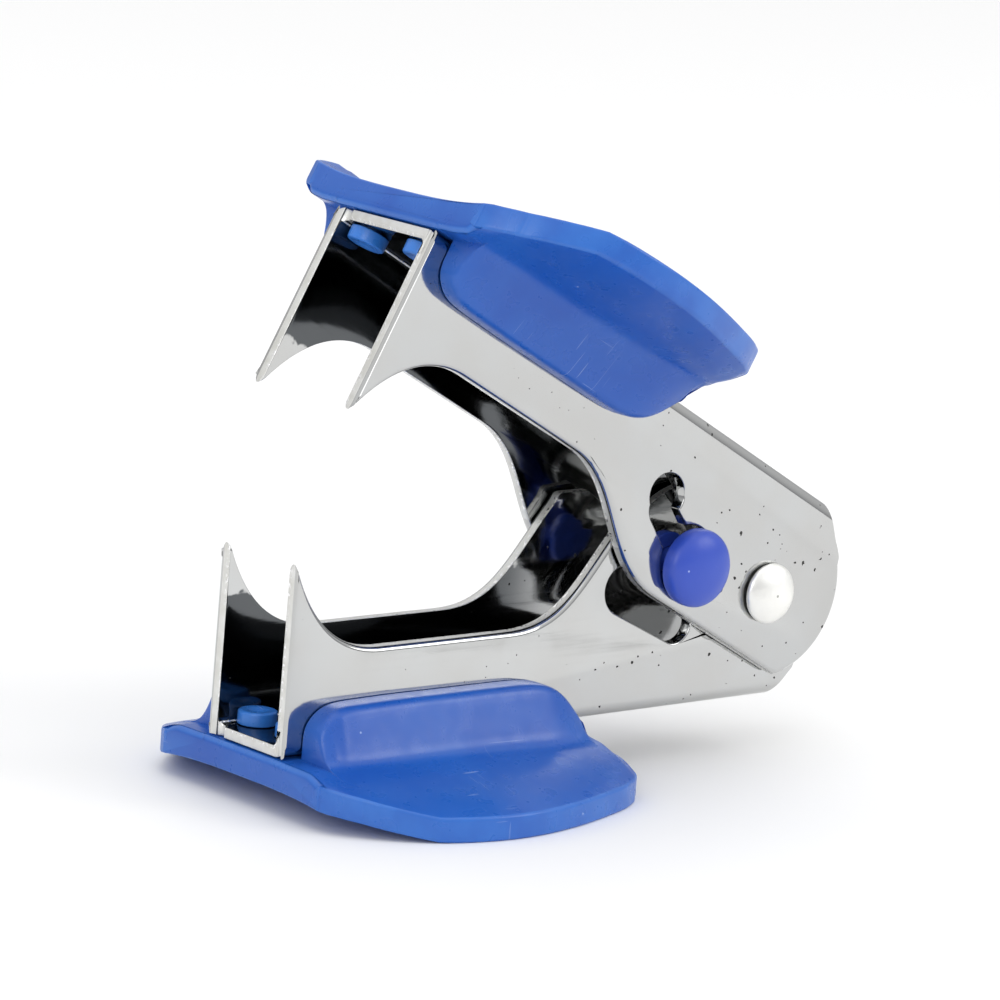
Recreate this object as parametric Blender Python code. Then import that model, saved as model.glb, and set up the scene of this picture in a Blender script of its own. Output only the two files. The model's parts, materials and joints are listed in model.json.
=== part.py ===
"""Jaw-style staple remover with a sliding lock, resting open on its lower grip.

Metres, +Z up. The fangs point to -X, the jaws turn about a rivet that lies along Y.
Both jaws are drawn in a side frame whose origin is the pivot: u runs forward to the
fangs, z runs up. The lower jaw's side frame is level, and the upper jaw's is opened
by OPEN_ANGLE. The origin is under the middle of the object, on the plane it rests on.
"""
import math

import bmesh
import bpy
from mathutils import Matrix, Vector

MM = 0.001

# Driving dimensions, in millimetres and degrees
STEEL = 1.2
GAP = 0.3
LOWER_WIDTH = 10.5
UPPER_WIDTH = LOWER_WIDTH + 2 * STEEL + 2 * GAP
LOWER_WEB = -9.75
UPPER_WEB = 9.6
FRONT = 50.7
OPEN_ANGLE = 29.1
CLOSED_ANGLE = -0.9
BEND_RADIUS = 1.3
REAR_RADIUS = 8.1
LOBE_RADIUS = 7.6
PIVOT_X = 21.4
PIVOT_Z = 15.0

# The two ends of the lock's slot, in the upper jaw's side frame
UNLOCKED = Vector((9.5, -1.75))
LOCKED = Vector((15.3, 1.25))
LOCK_SHAFT_RADIUS = 1.1
LOCK_HEAD_RADIUS = 3.4
LOCK_HEAD_SIDE = 1.1
LOCK_HEAD_DOME = 1.1
# The disc on the shaft's inner end, and where its outer face lies across the jaws
LOCK_DISC_RADIUS = 2.4
LOCK_DISC_THICKNESS = 1.2
LOCK_DISC_SOCKET = 0.75
LOCK_DISC_FACE = GAP + STEEL - LOWER_WIDTH / 2

RIVET_RADIUS = 1.6
RIVET_HEAD_RADIUS = 2.75
RIVET_HEAD_HEIGHT = 1.2
SPRING_WIRE_RADIUS = 0.45
SPRING_COIL_RADIUS = 3.1
SPRING_HALF_LENGTH = 3.0
SPRING_TURNS = 4
SPRING_REACH = 12.5

PEG_RADIUS = 1.15
PEG_HEAD_RADIUS = 1.75
PEG_HEAD_HEIGHT = 0.9
PEG_STATIONS = (47.6, 26.0)

OPEN = math.radians(OPEN_ANGLE)


def clear_scene():
    for item in list(bpy.data.objects):
        bpy.data.objects.remove(item, do_unlink=True)


def make_collection(name):
    collection = bpy.data.collections.new(name)
    bpy.context.scene.collection.children.link(collection)
    return collection


def make_material(name, colour, roughness, metallic):
    material = bpy.data.materials.new(name)
    material.use_nodes = True
    shader = material.node_tree.nodes["Principled BSDF"]
    shader.inputs["Base Color"].default_value = (*colour, 1.0)
    shader.inputs["Roughness"].default_value = roughness
    shader.inputs["Metallic"].default_value = metallic
    return material


# Outlines in a side frame

def arc(centre, radius, start, end, steps):
    """Points on a circle from one angle to another, in degrees, end points included."""
    points = []
    for i in range(steps + 1):
        angle = math.radians(start + (end - start) * i / steps)
        points.append(Vector((centre[0] + radius * math.cos(angle),
                              centre[1] + radius * math.sin(angle))))
    return points


def bezier(points, steps):
    """A smooth stretch through its control points' hull, end points included."""
    result = []
    for i in range(steps + 1):
        t = i / steps
        level = [Vector(p) for p in points]
        while len(level) > 1:
            level = [a.lerp(b, t) for a, b in zip(level, level[1:])]
        result.append(level[0])
    return result


def capsule(start, end, radius, steps=10):
    """A bar with round ends."""
    along = math.degrees(math.atan2(end[1] - start[1], end[0] - start[0]))
    return (arc(end, radius, along - 90, along + 90, steps)
            + arc(start, radius, along + 90, along + 270, steps))


def turned(point, angle):
    """A point of the side frame after the jaw has opened by an angle in radians."""
    return Vector((point[0] * math.cos(angle) - point[1] * math.sin(angle),
                   point[0] * math.sin(angle) + point[1] * math.cos(angle)))


def lower_outline():
    """One wall of the lower jaw without its lock channel."""
    return ([Vector((FRONT, LOWER_WEB))]
            + bezier([(50.4, 6.1), (47.8, -1.3), (41.5, -1.5)], 10)
            + bezier([(27.5, -1.5), (21.5, -1.5), (20.0, 2.0), (15.6, 7.0)], 10)
            + arc((14.7, 7.0), 0.8, 40, 90, 3)
            + [Vector((12.0, 7.8)), Vector((8.0, 5.0))]
            + arc((0, 0), LOBE_RADIUS, 50, 205, 20)
            + [Vector((-5.0, -7.4)), Vector((-2.6, LOWER_WEB))])


def upper_outline():
    """One wall of the upper jaw without its slot."""
    return ([Vector((FRONT, UPPER_WEB))]
            + [Vector((-2.2, UPPER_WEB)), Vector((-4.6, 7.3))]
            + arc((0, 0.6), REAR_RADIUS, 126, 231.6, 16)
            + bezier([(11.5, -5.75), (18.5, -5.75), (20.5, 1.2), (27.0, 1.2)], 12)
            + bezier([(41.5, 1.2), (47.6, 0.9), (50.5, -6.3)], 10))


def lock_channel_cutters():
    """The openings in the lower jaw's near wall that the lock's shaft moves through."""
    room = LOCK_SHAFT_RADIUS + GAP
    closed = math.radians(CLOSED_ANGLE)
    ring = (arc((0, 0), 12.3, -8, 75, 18) + arc((0, 0), LOBE_RADIUS, 50, -17, 12))
    window = ([Vector((16.05, -0.8))] + arc((9.0, -2.35), 1.7, -64, -184, 8)
              + [turned(UNLOCKED, closed), turned(LOCKED, closed)])
    return {
        "channel_ring": ring,
        "channel_window": window[::-1],
        "channel_pocket": arc((15.0, 1.15), 2.2, 0, 345, 23),
        "channel_closed_path": capsule(turned(UNLOCKED, closed), turned(LOCKED, closed), room + 0.1),
        "channel_open_path": capsule(turned(UNLOCKED, OPEN), turned(LOCKED, OPEN), room),
    }


def slot_cutters():
    """The dumb-bell slot in the upper jaw's near wall."""
    return {
        "slot_upper_end": arc((15.4, 2.3), 1.95, 0, 345, 23),
        "slot_lower_end": arc((10.3, -1.3), 2.85, 0, 345, 23),
        "slot_neck": capsule((11.6, -0.85), (15.2, 1.05), 1.48),
    }


# Solids

def link(name, mesh, collection, material=None):
    item = bpy.data.objects.new(name, mesh)
    collection.objects.link(item)
    if material:
        mesh.materials.append(material)
    return item


def prism(name, outline, low_y, high_y, collection, material=None):
    """An outline of a side frame made solid from one Y to another, in millimetres."""
    curve = bpy.data.curves.new(name, "CURVE")
    curve.dimensions = "2D"
    curve.fill_mode = "BOTH"
    curve.extrude = (high_y - low_y) / 2 * MM
    spline = curve.splines.new("POLY")
    spline.points.add(len(outline) - 1)
    for point, (u, z) in zip(spline.points, outline):
        point.co = (-u * MM, z * MM, 0, 1)
    spline.use_cyclic_u = True
    flat = bpy.data.objects.new(name + "_curve", curve)
    collection.objects.link(flat)
    bpy.context.view_layer.update()
    shape = flat.evaluated_get(bpy.context.evaluated_depsgraph_get())
    mesh = bpy.data.meshes.new_from_object(shape)
    bpy.data.objects.remove(flat, do_unlink=True)
    mesh.name = name
    stand = Matrix.Translation((0, (high_y + low_y) / 2 * MM, 0)) @ Matrix.Rotation(math.pi / 2, 4, "X")
    work = bmesh.new()
    work.from_mesh(mesh)
    bmesh.ops.remove_doubles(work, verts=work.verts, dist=0.000001)
    bmesh.ops.transform(work, matrix=stand, verts=work.verts)
    bmesh.ops.recalc_face_normals(work, faces=work.faces)
    work.to_mesh(mesh)
    work.free()
    mesh.materials.clear()
    return link(name, mesh, collection, material)


def as_cutter(item):
    item.hide_render = True
    item.display_type = "WIRE"
    return item


def boolean(item, other, operation, solver="EXACT"):
    modifier = item.modifiers.new(other.name, "BOOLEAN")
    modifier.operation = operation
    modifier.solver = solver
    modifier.object = other


def bend_edges(item, height, radius, segments):
    """Rounds the long edges of a channel where its web meets its walls."""
    mesh = item.data
    work = bmesh.new()
    work.from_mesh(mesh)
    edges = []
    for edge in work.edges:
        a, b = (vert.co for vert in edge.verts)
        level = abs(a.z - height * MM) < 1e-6 and abs(b.z - height * MM) < 1e-6
        along = abs(a.x - b.x) > 1e-6 and abs(a.y - b.y) < 1e-6
        if level and along:
            edges.append(edge)
    bmesh.ops.bevel(work, geom=edges, offset=radius * MM, segments=segments,
                    affect="EDGES", profile=0.5, clamp_overlap=False)
    work.to_mesh(mesh)
    work.free()


def jaw(name, outline, width, web, side_cutters, parts, cutters, material):
    """A pressed channel: two profiled walls joined by a web. The side cutters open the near wall."""
    outward = 1 if web > 0 else -1
    body = prism(name, outline, -width / 2, width / 2, parts, material)
    bend_edges(body, web, BEND_RADIUS, 4)
    inner_web = web - outward * STEEL
    far = -outward * 20
    hollow = [Vector((70, inner_web)), Vector((-20, inner_web)), Vector((-20, far)), Vector((70, far))]
    if outward < 0:
        hollow.reverse()
    half = width / 2 - STEEL
    inside = as_cutter(prism(name + "_hollow", hollow, -half, half, cutters))
    bend_edges(inside, inner_web, BEND_RADIUS - STEEL + 0.2, 2)
    boolean(body, inside, "DIFFERENCE")
    for label, shape in side_cutters.items():
        cut = as_cutter(prism(name + "_" + label, shape, -width, 0, cutters))
        boolean(body, cut, "DIFFERENCE")
    hole = as_cutter(cylinder_y(name + "_rivet_hole", RIVET_RADIUS + GAP, -width, width, cutters))
    boolean(body, hole, "DIFFERENCE")
    for index, (u, y) in enumerate(peg_places(width)):
        drill = as_cutter(cylinder_z(f"{name}_peg_hole_{index}", PEG_RADIUS + GAP, (u, y),
                                     web - 3, web + 3, cutters))
        boolean(body, drill, "DIFFERENCE")
    return body


def cone_mesh(name, radius_low, radius_high, height, segments):
    mesh = bpy.data.meshes.new(name)
    work = bmesh.new()
    bmesh.ops.create_cone(work, cap_ends=True, segments=segments, radius1=radius_low * MM,
                          radius2=radius_high * MM, depth=height * MM)
    work.to_mesh(mesh)
    work.free()
    return mesh


def cylinder_y(name, radius, low, high, collection, segments=32):
    mesh = cone_mesh(name, radius, radius, high - low, segments)
    mesh.transform(Matrix.Translation((0, (low + high) / 2 * MM, 0)) @ Matrix.Rotation(math.pi / 2, 4, "X"))
    return link(name, mesh, collection)


def cylinder_z(name, radius, place, low, high, collection, segments=24):
    mesh = cone_mesh(name, radius, radius, high - low, segments)
    mesh.transform(Matrix.Translation((-place[0] * MM, place[1] * MM, (low + high) / 2 * MM)))
    return link(name, mesh, collection)


def turned_about_y(name, profile, collection, material, segments=40):
    """A turned solid: (y, radius) stations from one end on the axis to the other."""
    mesh = bpy.data.meshes.new(name)
    work = bmesh.new()
    verts = [work.verts.new((radius * MM, y * MM, 0)) for y, radius in profile]
    edges = [work.edges.new(pair) for pair in zip(verts, verts[1:])]
    bmesh.ops.spin(work, geom=verts + edges, cent=(0, 0, 0), axis=(0, 1, 0),
                   angle=2 * math.pi, steps=segments, use_duplicate=False)
    bmesh.ops.remove_doubles(work, verts=work.verts, dist=0.000001)
    bmesh.ops.recalc_face_normals(work, faces=work.faces)
    work.to_mesh(mesh)
    work.free()
    mesh.shade_smooth()
    mesh.set_sharp_from_angle(angle=math.radians(35))
    return link(name, mesh, collection, material)


def dome(start, radius, height, direction, steps=6):
    """(y, radius) stations of a flattened dome that rises from its rim to the axis."""
    stations = []
    for i in range(steps + 1):
        angle = math.pi / 2 * i / steps
        stations.append((start + direction * height * math.sin(angle), radius * math.cos(angle)))
    return stations


# Grips

def peg_places(width):
    spread = width / 2 - STEEL - PEG_HEAD_RADIUS - 0.3
    return [(u, side * spread) for u in PEG_STATIONS for side in (-1, 1)]


# Stations along a grip: (u, half-width, how far the skirts reach down the walls)
GRIP_STATIONS = (
    (51.2, 11.2, 0.9), (50.9, 12.4, 2.0), (50.0, 14.2, 3.2), (48.6, 15.8, 4.0),
    (46.5, 17.2, 4.3), (43.5, 18.4, 4.4), (40.0, 19.1, 4.4), (36.5, 19.3, 4.4),
    (33.0, 19.0, 4.4), (29.5, 18.1, 4.4), (26.3, 17.0, 4.2), (23.5, 15.7, 3.4),
    (21.2, 14.5, 2.0), (19.6, 13.3, 0.9), (18.6, 12.0, 0.4),
)
GRIP_CENTRE = 3.0
LOWER_RIM = 5.25
UPPER_RIM = 6.0
GRIP_DISH_POWER = 3.1
GRIP_LEVEL_STRIP = 1.6
GRIP_WING = 2.1
# Faces of a grip that lie this close to one plane, in radians, are one face.
LEVEL_TOLERANCE = 0.002
SKIRT_WALL = 2.2


def grip_section(width, half, widest, skirt, rim):
    """Half of a grip's cross-section: (y, h) with h running out from the jaw's web."""
    inner = width / 2 + GAP
    foot = inner + SKIRT_WALL + 1.9
    top = inner + SKIRT_WALL
    floor = GAP

    def dish(y):
        share = min(1.0, y / (widest - GRIP_LEVEL_STRIP))
        return GRIP_CENTRE + (rim - GRIP_CENTRE) * share ** GRIP_DISH_POWER

    level = half - GRIP_LEVEL_STRIP
    points = [(level * share, dish(level * share)) for share in (0, 0.4, 0.62, 0.78, 0.9, 1)]
    reach = dish(half)
    points.append((half - 0.4, reach))
    points.append((half, reach - 0.5))
    points.append((half, reach - GRIP_WING + 0.5))
    points.append((half - 0.5, reach - GRIP_WING))
    points.append((foot + (half - foot) * 0.45, 0.9 + (reach - GRIP_WING - 0.9) * 0.4))
    points.append((foot, 0.6))
    for share in (0.18, 0.45, 0.75):
        points.append((foot - (foot - top) * share ** 0.6, 0.6 - (skirt + 0.6) * share))
    points.append((top, 0.35 * min(1, skirt) - skirt))
    points.append((top - 0.4, -skirt))
    points.append((inner, -skirt))
    points.append((inner, floor))
    points.append((0, floor))
    return points


def grip(name, width, web, rim, collection, material):
    """A moulded saddle, lofted through cross-sections along the jaw, with staked pegs."""
    outward = 1 if web > 0 else -1
    mesh = bpy.data.meshes.new(name)
    work = bmesh.new()
    rings = []
    spare = (width - LOWER_WIDTH) / 8
    broadest = max(half for u, half, skirt in GRIP_STATIONS)
    narrowing = False
    for u, half, skirt in GRIP_STATIONS:
        narrowing = narrowing or half == broadest
        widest = half if narrowing else broadest
        side = grip_section(width, half + spare, widest + spare, skirt, rim)
        ring = [(y, h) for y, h in side] + [(-y, h) for y, h in side[-2:0:-1]]
        rings.append([work.verts.new((-u * MM, y * MM, (web + outward * h) * MM)) for y, h in ring])
    count = len(rings[0])
    for near, far in zip(rings, rings[1:]):
        for i in range(count):
            j = (i + 1) % count
            work.faces.new((near[i], near[j], far[j], far[i]))
    work.faces.new(rings[0])
    work.faces.new(rings[-1])
    bmesh.ops.triangulate(work, faces=work.faces)
    bmesh.ops.recalc_face_normals(work, faces=work.faces)
    work.to_mesh(mesh)
    work.free()
    return link(name, mesh, collection, material)


def add_pegs(body, width, web, cutters):
    """Pegs moulded on the grip's floor, pushed through the web and melted over."""
    outward = 1 if web > 0 else -1
    inner_web = web - outward * STEEL
    for index, place in enumerate(peg_places(width)):
        bottom = web + outward * 1.2
        head = inner_web - outward * GAP
        top = head - outward * PEG_HEAD_HEIGHT
        stem = as_cutter(cylinder_z(f"{body.name}_peg_{index}", PEG_RADIUS, place,
                                    min(bottom, head - outward * 0.2), max(bottom, head - outward * 0.2),
                                    cutters))
        button = as_cutter(cylinder_z(f"{body.name}_peg_head_{index}", PEG_HEAD_RADIUS, place,
                                      min(head, top), max(head, top), cutters))
        # The exact solver turns the lofted saddle inside out, so these joins use the manifold one.
        boolean(body, stem, "UNION", "MANIFOLD")
        boolean(body, button, "UNION", "MANIFOLD")
    merge = body.modifiers.new("level_faces", "DECIMATE")
    merge.decimate_type = "DISSOLVE"
    merge.angle_limit = LEVEL_TOLERANCE


# Small parts

def rivet(collection, material):
    side = UPPER_WIDTH / 2 + GAP
    near = dome(-side - 0.35, RIVET_HEAD_RADIUS, RIVET_HEAD_HEIGHT - 0.35, -1)[::-1]
    profile = near + [(-side, RIVET_HEAD_RADIUS), (-side, RIVET_RADIUS), (side, RIVET_RADIUS),
                      (side, RIVET_HEAD_RADIUS - 0.3)]
    profile += dome(side + 0.3, RIVET_HEAD_RADIUS - 0.3, 0.5, 1, 4)
    return turned_about_y("pivot_rivet", profile, collection, material)


def lock_pin(collection, material):
    """The button outside the near wall and its shaft, which ends inside the jaws."""
    side = UPPER_WIDTH / 2 + GAP
    tip = LOCK_DISC_FACE + LOCK_DISC_SOCKET - GAP
    profile = dome(-side - LOCK_HEAD_SIDE, LOCK_HEAD_RADIUS, LOCK_HEAD_DOME, -1, 8)[::-1]
    profile += [(-side, LOCK_HEAD_RADIUS), (-side, LOCK_SHAFT_RADIUS),
                (tip, LOCK_SHAFT_RADIUS), (tip, 0)]
    return turned_about_y("lock_pin", profile, collection, material)


def lock_retainer(collection, material):
    """The disc inside the near walls, with the socket that the shaft snaps into."""
    socket = LOCK_SHAFT_RADIUS + GAP
    end = LOCK_DISC_FACE + LOCK_DISC_THICKNESS
    profile = [(LOCK_DISC_FACE + LOCK_DISC_SOCKET, 0), (LOCK_DISC_FACE + LOCK_DISC_SOCKET, socket),
               (LOCK_DISC_FACE, socket), (LOCK_DISC_FACE, LOCK_DISC_RADIUS),
               (end, LOCK_DISC_RADIUS), (end, 0)]
    return turned_about_y("lock_retainer", profile, collection, material)


def tangent_angle(point):
    """Where on the coil a wire that comes straight from a point meets it, in radians."""
    return math.atan2(point[1], point[0]), math.acos(SPRING_COIL_RADIUS / Vector(point).length)


def spring(collection, material):
    """A coil round the rivet with one leg along each web, pushing the jaws apart."""
    clear = STEEL + GAP + SPRING_WIRE_RADIUS
    lower_foot = Vector((SPRING_REACH, LOWER_WEB + clear))
    upper_foot = turned((SPRING_REACH, UPPER_WEB - clear), OPEN)
    direction, aside = tangent_angle(lower_foot)
    start = direction - aside
    direction, aside = tangent_angle(upper_foot)
    end = direction + aside - 2 * math.pi * (SPRING_TURNS + 1)
    steps = SPRING_TURNS * 16 + 6
    path = [(*lower_foot, -SPRING_HALF_LENGTH)]
    for i in range(steps + 1):
        share = i / steps
        angle = start + (end - start) * share
        path.append((SPRING_COIL_RADIUS * math.cos(angle), SPRING_COIL_RADIUS * math.sin(angle),
                     SPRING_HALF_LENGTH * (2 * share - 1)))
    path.append((*upper_foot, SPRING_HALF_LENGTH))
    curve = bpy.data.curves.new("torsion_spring", "CURVE")
    curve.dimensions = "3D"
    curve.bevel_depth = SPRING_WIRE_RADIUS * MM
    curve.bevel_resolution = 2
    curve.use_fill_caps = True
    curve.materials.append(material)
    spline = curve.splines.new("POLY")
    spline.points.add(len(path) - 1)
    for point, (u, z, y) in zip(spline.points, path):
        point.co = (-u * MM, y * MM, z * MM, 1)
    item = bpy.data.objects.new("torsion_spring", curve)
    collection.objects.link(item)
    return item


def build():
    clear_scene()
    parts = make_collection("staple_remover")
    cutters = make_collection("cutters")
    steel = make_material("chromed_steel", (0.68, 0.69, 0.69), 0.16, 1.0)
    blue = make_material("blue_plastic", (0.035, 0.13, 0.62), 0.38, 0.0)
    violet = make_material("lock_plastic", (0.035, 0.07, 0.60), 0.35, 0.0)
    zinc = make_material("rivet_steel", (0.78, 0.78, 0.75), 0.32, 1.0)
    wire_steel = make_material("spring_steel", (0.35, 0.36, 0.38), 0.3, 1.0)

    lower_frame = Matrix.Translation((PIVOT_X * MM, 0, PIVOT_Z * MM))
    upper_frame = lower_frame @ Matrix.Rotation(OPEN, 4, "Y")

    lower = jaw("lower_jaw", lower_outline(), LOWER_WIDTH, LOWER_WEB, lock_channel_cutters(),
                parts, cutters, steel)
    upper = jaw("upper_jaw", upper_outline(), UPPER_WIDTH, UPPER_WEB, slot_cutters(),
                parts, cutters, steel)
    lower_grip = grip("lower_grip", LOWER_WIDTH, LOWER_WEB, LOWER_RIM, parts, blue)
    upper_grip = grip("upper_grip", UPPER_WIDTH, UPPER_WEB, UPPER_RIM, parts, blue)
    add_pegs(lower_grip, LOWER_WIDTH, LOWER_WEB, cutters)
    add_pegs(upper_grip, UPPER_WIDTH, UPPER_WEB, cutters)
    axle = rivet(parts, zinc)
    pin = lock_pin(parts, violet)
    retainer = lock_retainer(parts, violet)
    for piece in (pin, retainer):
        piece.data.transform(Matrix.Translation((-UNLOCKED[0] * MM, 0, UNLOCKED[1] * MM)))

    coil_wire = spring(parts, wire_steel)

    frames = {"lower": lower_frame, "upper": upper_frame}
    members = {"lower": (lower, lower_grip, axle, coil_wire), "upper": (upper, upper_grip, pin, retainer)}
    for key, pieces in members.items():
        for piece in pieces:
            piece.matrix_world = frames[key]
    for item in cutters.objects:
        item.matrix_world = upper_frame if item.name.startswith("upper") else lower_frame
    bpy.context.view_layer.update()


build()
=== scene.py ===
"""Looks of a jaw-style staple remover with a sliding lock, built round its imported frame.

The fangs point to -X and the rivet lies along Y. Both jaws are drawn in a side frame whose
origin is the rivet's axis: u runs forward to the fangs and z runs up, in millimetres. The
upper jaw's side frame is opened by OPEN_ANGLE.
"""

import json
import math

import bmesh
import bpy
from mathutils import Matrix, Vector, geometry

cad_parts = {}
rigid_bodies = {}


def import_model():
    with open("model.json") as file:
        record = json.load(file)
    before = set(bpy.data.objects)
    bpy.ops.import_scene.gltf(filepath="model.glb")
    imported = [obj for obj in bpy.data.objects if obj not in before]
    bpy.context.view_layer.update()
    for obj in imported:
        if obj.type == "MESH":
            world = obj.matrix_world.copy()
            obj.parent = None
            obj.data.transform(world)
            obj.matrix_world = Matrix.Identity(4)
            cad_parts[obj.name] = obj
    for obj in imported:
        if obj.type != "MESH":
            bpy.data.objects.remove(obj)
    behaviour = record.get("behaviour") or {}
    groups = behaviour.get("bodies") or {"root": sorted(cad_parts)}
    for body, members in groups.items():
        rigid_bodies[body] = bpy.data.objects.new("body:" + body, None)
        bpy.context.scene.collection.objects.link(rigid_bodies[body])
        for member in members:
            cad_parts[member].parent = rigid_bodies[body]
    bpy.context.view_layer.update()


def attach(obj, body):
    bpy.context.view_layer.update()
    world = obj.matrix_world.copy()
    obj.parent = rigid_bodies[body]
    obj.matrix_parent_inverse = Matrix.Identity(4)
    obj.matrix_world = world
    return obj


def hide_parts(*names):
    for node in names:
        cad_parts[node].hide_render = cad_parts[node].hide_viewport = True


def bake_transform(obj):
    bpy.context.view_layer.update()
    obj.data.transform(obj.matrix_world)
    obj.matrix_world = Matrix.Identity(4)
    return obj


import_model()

MM = 0.001

# Sheet sizes in millimetres, with levels and stations in the side frame
STEEL = 1.2
GAP = 0.3
LOWER_WIDTH = 10.5
UPPER_WIDTH = LOWER_WIDTH + 2 * STEEL + 2 * GAP
UPPER_SIDE = UPPER_WIDTH / 2
LOWER_WEB = -9.75
UPPER_WEB = 9.6
FRONT = 50.7
BEND_RADIUS = 1.3
INNER_BEND_RADIUS = BEND_RADIUS - STEEL + 0.35
REAR_RADIUS = 8.1
LOBE_RADIUS = 7.6
# How far each web stands further out towards the fangs: (from, to, its outside, its inside)
WEB_RISE = (8.0, 50.7, 0.45, 0.7)
# The walls aren't stretched by that rise up to this distance from the axis
STRAIGHT_WALL = 5

# The hollow's cutter, which reaches past the blank on every side but the web's
HOLLOW_FRONT = 70
HOLLOW_REAR = -20
HOLLOW_DEPTH = 20

# Edges of the sheet: the outer ones are rolled over by the press, the inner ones torn and sharp
ROLLED_EDGE = 0.42
TORN_EDGE = 0.07
OPENING_WEIGHT = 0.35
SHARP_ANGLE = 40
OUTLINE_DISTANCE = 0.05
# Where the near wall's window and slot lie: (from, to, half-height)
OPENINGS = (4, 18.5, 4.6)
# Edges further than this from the axis's level, behind the rivet, stay unbevelled
REAR_BEND_LEVEL = 6
# A vertex of the round rear this far outside its arc was thrown out by the bevel
REAR_END = -5
REAR_HALF_HEIGHT = 7
STRAY = 0.6
# Clean-up after the Booleans: welding distance in metres and flat angle in degrees
WELD_DISTANCE = 8e-6
FLAT_ANGLE = 0.3

# The fangs' points are rounded over this length, at these shares of it, down to the thinnest share
FANG_START = 40
FANG_POINT_START = 45
TIP_LENGTH = 0.75
TIP_SHARES = (0.0, 0.35, 0.6, 0.8, 0.93)
THINNEST_TIP = 0.2

# Places of the materials on a jaw, after the outer face's
INSIDE_MATERIAL = 1
EDGE_MATERIAL = 2

# Hinge and lock
OPEN_ANGLE = 29.1
CLOSED_ANGLE = -0.9
PIVOT_X = 21.4
PIVOT_Z = 15.0
UNLOCKED = Vector((9.5, -1.75))
LOCKED = Vector((15.3, 1.25))
LOCK_SHAFT_RADIUS = 1.1
LOCK_STEM_RADIUS = 1.4
LOCK_HEAD_RADIUS = 3.4
LOCK_DISC_RADIUS = 2.4
LOCK_DISC_FACE = STEEL + 0.15 - LOWER_WIDTH / 2
LOCK_DISC_THICKNESS = 1.2
RIVET_RADIUS = 1.6
RIVET_HEAD_RADIUS = 2.7

SPRING_WIRE_RADIUS = 0.45
SPRING_COIL_RADIUS = 3.1
SPRING_HALF_LENGTH = 3.0
SPRING_TURNS = 4
SPRING_REACH = 12.5
SPRING_LEG_STEPS = 10
SPRING_TURN_STEPS = 40

# Pegs: (u, distance from the middle) of each pair
PEG_RADIUS = 1.2
PEG_HOLE_RADIUS = 1.25
PEG_HEAD_RADIUS = 1.66
LOWER_PEGS = ((47.6, 2.6), (26.0, 2.6))
UPPER_PEGS = ((48.6, 3.7), (26.0, 3.7))

OPEN = math.radians(OPEN_ANGLE)
LOWER_FRAME = Matrix.Translation((PIVOT_X * MM, 0, PIVOT_Z * MM))
UPPER_FRAME = LOWER_FRAME @ Matrix.Rotation(OPEN, 4, "Y")

scene = bpy.context.scene
pieces = bpy.data.collections.new("staple_remover_looks")
cutters = bpy.data.collections.new("cutters")
for group in (pieces, cutters):
    scene.collection.children.link(group)


# Shader graphs

class Graph:
    """Short names for the few shader nodes that the materials use."""

    def __init__(self, name):
        self.material = bpy.data.materials.new(name)
        self.material.use_nodes = True
        self.tree = self.material.node_tree
        self.shader = self.tree.nodes["Principled BSDF"]
        self.place = self.tree.nodes.new("ShaderNodeTexCoord").outputs["Object"]

    def node(self, kind, inputs=(), **settings):
        node = self.tree.nodes.new("ShaderNode" + kind)
        for key, value in settings.items():
            setattr(node, key, value)
        for key, value in dict(inputs).items():
            self.feed(node.inputs[key], value)
        return node

    def feed(self, socket, value):
        if isinstance(value, bpy.types.NodeSocket):
            self.tree.links.new(value, socket)
        else:
            socket.default_value = value

    def stretch(self, scale):
        return self.node("Mapping", {"Vector": self.place, "Scale": scale}).outputs[0]

    def noise(self, scale, detail=2.0, place=None, distortion=0.0):
        inputs = {"Vector": place or self.place, "Scale": scale, "Detail": detail, "Distortion": distortion}
        return self.node("TexNoise", inputs).outputs[0]

    def cells(self, scale):
        node = self.node("TexVoronoi", {"Vector": self.place, "Scale": scale})
        return node.outputs["Distance"], node.outputs["Color"]

    def math(self, operation, a, b=0.0, clamp=False):
        return self.node("Math", {0: a, 1: b}, operation=operation, use_clamp=clamp).outputs[0]

    def ramp(self, value, low, high, out_low=0.0, out_high=1.0):
        inputs = {"Value": value, "From Min": low, "From Max": high, "To Min": out_low, "To Max": out_high}
        return self.node("MapRange", inputs, interpolation_type="SMOOTHSTEP").outputs[0]

    def blend(self, share, a, b):
        node = self.node("Mix", data_type="RGBA")
        for key, value in ((0, share), (6, a), (7, b)):
            self.feed(node.inputs[key], value)
        return node.outputs[2]

    def red(self, colour):
        return self.node("SeparateColor", {0: colour}).outputs[0]

    def axis(self, index):
        return self.node("SeparateXYZ", {0: self.place}).outputs[index]

    def attribute(self, name):
        return self.node("Attribute", attribute_name=name).outputs["Fac"]

    def bump(self, height, distance, strength=1.0, normal=None):
        inputs = {"Height": height, "Distance": distance, "Strength": strength}
        if normal:
            inputs["Normal"] = normal
        return self.node("Bump", inputs).outputs[0]

    def set(self, **values):
        for key, value in values.items():
            self.feed(self.shader.inputs[key.replace("_", " ")], value)
        return self.material


def grey(value, tint=(1.0, 1.0, 1.0)):
    return (value * tint[0], value * tint[1], value * tint[2], 1.0)


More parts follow.
